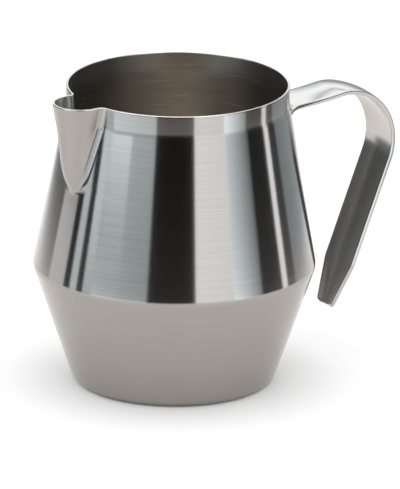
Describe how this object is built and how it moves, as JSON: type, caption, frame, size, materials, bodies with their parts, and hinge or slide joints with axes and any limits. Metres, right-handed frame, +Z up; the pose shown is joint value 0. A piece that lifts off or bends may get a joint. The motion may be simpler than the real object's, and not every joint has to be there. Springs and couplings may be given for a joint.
{
  "type": "milk steaming jug",
  "caption": "Open steel jug of two cones meeting in a crease, with a neck band, a pressed V spout and a flat strap handle with a free lower end, for steaming and pouring milk.",
  "frame": {"origin": "centre of the base on the body's axis, in the plane the jug stands on", "axes": "+Z up along the body's axis; +X towards the handle, -X towards the spout; the XZ plane is the plane of symmetry"},
  "size_m": [0.1393, 0.0994, 0.108],
  "materials": {
    "body_steel": "stainless steel, finely line-brushed round the body and polished bright",
    "handle_steel": "stainless steel strip, polished, with fine lines along its length",
    "weld_steel": "fused stainless steel, hidden between the sheets"
  },
  "bodies": {
    "root": {"body_shell": "body_steel", "handle_strap": "handle_steel", "spot_welds": "weld_steel"}
  },
  "joints": []
}
